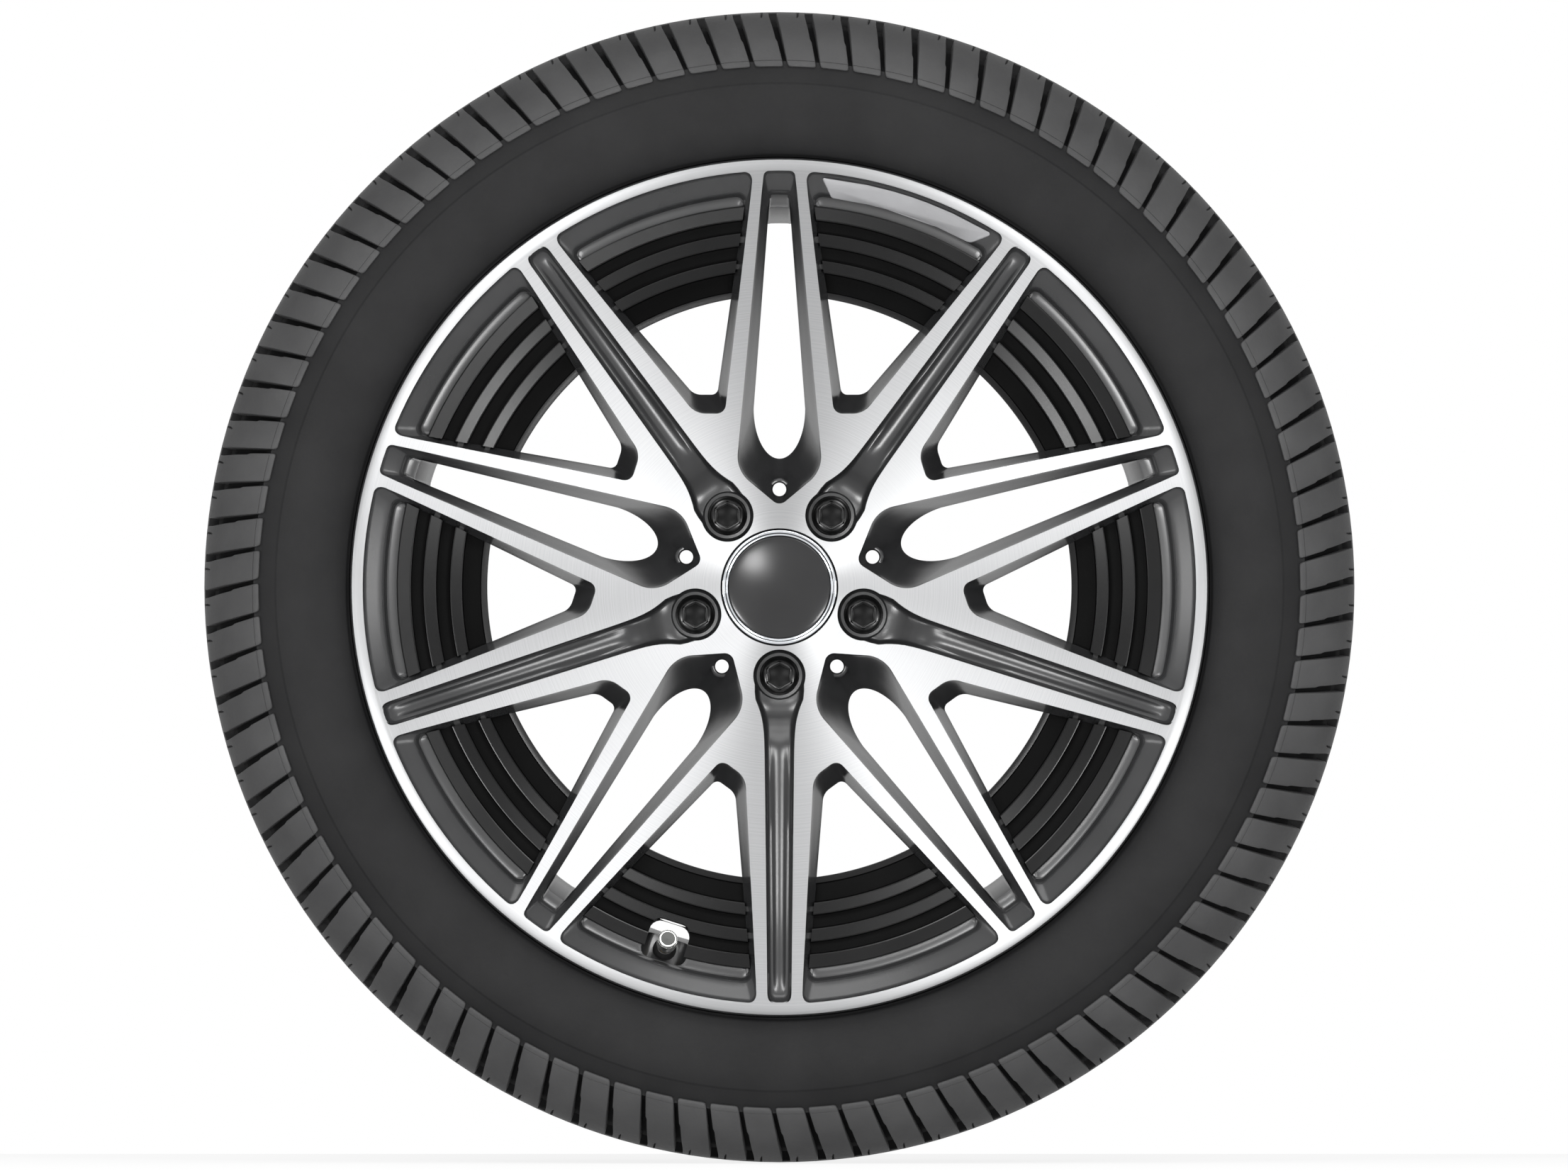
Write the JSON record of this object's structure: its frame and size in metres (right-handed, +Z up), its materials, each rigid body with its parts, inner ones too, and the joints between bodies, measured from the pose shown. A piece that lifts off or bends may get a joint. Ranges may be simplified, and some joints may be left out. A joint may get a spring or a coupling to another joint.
{
  "type": "alloy wheel with tyre",
  "caption": "Road wheel with slender double and single spokes, aero inserts in its windows, wheel bolts, centre cap, valve and a fitted low-profile tyre.",
  "frame": {"origin": "centre of the hub bore at the wheel's mounting face", "axes": "+Y along the wheel's axis towards the car, so the face looks along -Y; +Z up, with a double spoke pointing up"},
  "size_m": [0.7292, 0.278, 0.729],
  "materials": {
    "turned_alloy": "diamond-turned face and lip, dark grey painted pockets and barrel",
    "tyre_rubber": "matt black rubber",
    "insert_plastic": "semi-gloss black moulded plastic",
    "bolt_black": "gloss black",
    "clip_plastic": "matt black plastic",
    "bright_chrome": "polished chrome",
    "cap_grey": "dark grey satin",
    "valve_rubber": "black rubber",
    "brass": "machined brass",
    "steel": "plain steel",
    "cap_nickel": "nickel-plated, knurled",
    "seal_red": "soft red rubber",
    "sensor_plastic": "matt black plastic"
  },
  "bodies": {
    "wheel": {"wheel": "turned_alloy", "tyre": "tyre_rubber", "aero_insert_1": "insert_plastic", "aero_insert_2": "insert_plastic", "aero_insert_3": "insert_plastic", "aero_insert_4": "insert_plastic", "aero_insert_5": "insert_plastic", "aero_insert_6": "insert_plastic", "aero_insert_7": "insert_plastic", "aero_insert_8": "insert_plastic", "aero_insert_9": "insert_plastic", "aero_insert_10": "insert_plastic", "wheel_bolt_1": "bolt_black", "wheel_bolt_2": "bolt_black", "wheel_bolt_3": "bolt_black", "wheel_bolt_4": "bolt_black", "wheel_bolt_5": "bolt_black", "cap_clip": "clip_plastic", "cap_ring": "bright_chrome", "cap_disc": "cap_grey", "valve_rubber": "valve_rubber", "valve_stem": "brass", "valve_core": "brass", "pressure_sensor": "sensor_plastic", "sensor_screw": "steel"},
    "core_pin": {"valve_core_pin": "steel"},
    "cap_seal": {"valve_cap_seal": "seal_red"},
    "cap": {"valve_cap": "cap_nickel"}
  },
  "joints": [
    {"name": "valve_pin_press", "type": "slide", "parent": "wheel", "child": "core_pin", "axis": [-0.1034, 0.9397, -0.326], "range_m": [0, 0.0015], "stiffness_N_per_m": 600, "springref_m": -0.0008},
    {"name": "valve_cap_spin", "type": "hinge", "parent": "cap_seal", "child": "cap", "pos_m": [-0.07272, -0.06005, -0.22924], "axis": [0.1034, -0.9397, 0.326], "range_deg": [0, 2520]},
    {"name": "valve_cap_lift", "type": "slide", "parent": "wheel", "child": "cap_seal", "axis": [0.1034, -0.9397, 0.326], "range_m": [0, 0.00556]}
  ],
  "couplings": [
    {"joint": "valve_cap_spin", "follows": "valve_cap_lift", "rad_per_m": 7913.3}
  ]
}
